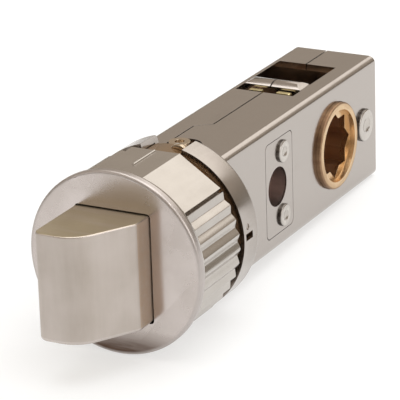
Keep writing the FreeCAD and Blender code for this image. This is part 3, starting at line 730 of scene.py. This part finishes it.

# %% [markdown]
# ## The bolt spring
# The spring pushes the bolt out. It is one wire wound in a spiral whose pitch closes at both
# ends, the way a compression spring is wound, so a circle swept along a curve makes it.

# %% Spring nodes
SPRING = {"Wire": 0.5 * MM, "Coil": 4.1 * MM, "Turns": 10.0, "Dead turns": 1.25,
          "Front": -11.75 * MM, "Rear": -33.35 * MM, "Off centre": -1.0 * MM}
board, given = tree_with("bolt_spring_shape", SPRING)
spiral = board.node("GeometryNodeCurveSpiral", None, Resolution=40, Height=1.0)
feed(board.tree, given["Turns"], spiral.inputs["Rotations"])
feed(board.tree, given["Coil"], spiral.inputs["Start Radius"])
feed(board.tree, given["Coil"], spiral.inputs["End Radius"])
where = board.node("ShaderNodeSeparateXYZ",
                   None, Vector=board.node("GeometryNodeInputPosition").outputs[0])
turns = Value(board.tree, where.outputs["Z"]) * given["Turns"]
dead = given["Dead turns"]
closed = turns.combine("MINIMUM", dead) + (turns - given["Turns"] + dead).combine("MAXIMUM", 0.0)
opened = (turns - closed) / (given["Turns"] - dead * 2.0)
dead_long = dead * given["Wire"] * 4.1
length = given["Front"] - given["Rear"]
down = closed / (dead * 2.0) * dead_long + opened * (length - dead_long)
wound = board.node("ShaderNodeCombineXYZ", None, X=given["Front"] - down,
                   Y=Value(board.tree, where.outputs["Y"]) + given["Off centre"],
                   Z=Value(board.tree, where.outputs["X"]))
moved = board.node("GeometryNodeSetPosition", None, Geometry=spiral.outputs["Curve"],
                   Position=wound.outputs[0])
section = board.node("GeometryNodeCurvePrimitiveCircle", None, Resolution=14)
feed(board.tree, given["Wire"], section.inputs["Radius"])
coil = board.node("GeometryNodeCurveToMesh", None, Curve=moved.outputs["Geometry"],
                  Profile_Curve=section.outputs["Curve"], Fill_Caps=True)
close_tree(board, coil.outputs["Mesh"], spring_wire)
spring_mesh = mesh_from(board, SPRING, "spring_wound")
outward(spring_mesh, 50)
spring_piece = finish_mesh(spring_mesh, "spring_wound", "latch_case", "spring_steel")
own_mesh(spring_piece)
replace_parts(spring_piece, "bolt_spring")
print("spring:", len(spring_mesh.vertices), "points,", SPRING["Turns"], "turns")

# %% [markdown]
# ## The bolt
# The bolt is what the eye meets first. It is a bar with one flat flank and a bevel that runs
# into a round nose, so that the door can slam. Its plan is laid out again as one smooth outline,
# because the CAD mesh's nose has facets that a polished face would show. Rows of that outline,
# each set in by a little, make the crisp upper rim and the worn lower rim.

# %% Bolt outline
bolt_low, bolt_high = node_box("latch_bolt")
BOLT_HALF = bolt_high.y
BOLT_TIP = bolt_high.x
BOLT_REAR = bolt_low.x
BOLT_UP = bolt_high.z
BEVEL_AT = 3.56
BEVEL = math.radians(31.2)
NOSE = 5.7
TIP_ROUND = 1.5


def arc(x, y, radius, start, end, count):
    """Points along an arc round (x, y), from one angle to another."""
    return [(x + radius * math.cos(start + (end - start) * step / count),
             y + radius * math.sin(start + (end - start) * step / count))
            for step in range(count + 1)]


def bolt_plan(inset):
    """Outline of the bolt from above, set in by some millimetres except at its hidden rear."""
    nose_x = BOLT_TIP - NOSE
    nose_y = BOLT_HALF - (NOSE + math.sin(BEVEL) * (nose_x - BEVEL_AT)) / math.cos(BEVEL)
    touch = math.pi / 2 - BEVEL
    nose = arc(nose_x, nose_y, NOSE - inset, touch, 0, 40)
    side = BOLT_HALF - inset
    turn_x = nose[0][0] - (side - nose[0][1]) / math.tan(BEVEL)
    bend = 0.5
    first = (turn_x - bend, side)
    last = (turn_x + bend * math.cos(BEVEL), side - bend * math.sin(BEVEL))
    middle = (turn_x + bend * 0.02, side - bend * 0.12)
    tip = arc(BOLT_TIP - TIP_ROUND, TIP_ROUND - BOLT_HALF, TIP_ROUND - inset,
              0, -math.pi / 2, 14)
    rear_side = [(BOLT_REAR, side), (BOLT_REAR * 0.6, side), (0, side), (2.0, side)]
    far_side = [(0, -side), (BOLT_REAR, -side)]
    return rear_side + [first, middle, last] + nose + tip + far_side


def rim(level, soft, sign, count=6):
    """Rows of (height, inset) of one rounded rim, going outward and away from the middle."""
    rows = []
    for step in range(count + 1):
        slant = math.pi / 2 * step / count
        rows.append((level + sign * soft * (math.sin(slant) - 1), soft * (1 - math.cos(slant))))
    return rows


print("bolt box:", [round(v, 2) for v in (*bolt_low, *bolt_high)])

# %% Bolt mesh
bm = bmesh.new()
wear = bm.verts.layers.float.new("edge_wear")
rows = rim(-BOLT_UP, 0.7, -1)[::-1] + [(-2.0, 0), (3.0, 0)] + rim(BOLT_UP, 0.25, 1)
loops = []
for height, inset in rows:
    loop = []
    for x, y in bolt_plan(inset):
        vert = bm.verts.new(Vector((x, y, height)) * MM)
        vert[wear] = 1.0 if inset > 0.01 else 0.0
        loop.append(vert)
    loops.append(loop)
for lower, upper in zip(loops, loops[1:]):
    for place in range(len(lower)):
        after = (place + 1) % len(lower)
        bm.faces.new((lower[place], lower[after], upper[after], upper[place]))
bm.faces.new(loops[0])
bm.faces.new(loops[-1][::-1])
bmesh.ops.recalc_face_normals(bm, faces=bm.faces)
mark_sharp(bm, CREASE)
bolt_mesh = bpy.data.meshes.new("bolt_head")
bm.to_mesh(bolt_mesh)
bm.free()
bolt_mesh = weigh_normals(bolt_mesh)
bolt_mesh.name = "bolt_head"
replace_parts(finish_mesh(bolt_mesh, "bolt_head", "bolt", "nickel_bolt"), "latch_bolt")
print("bolt:", len(bolt_mesh.polygons), "faces")
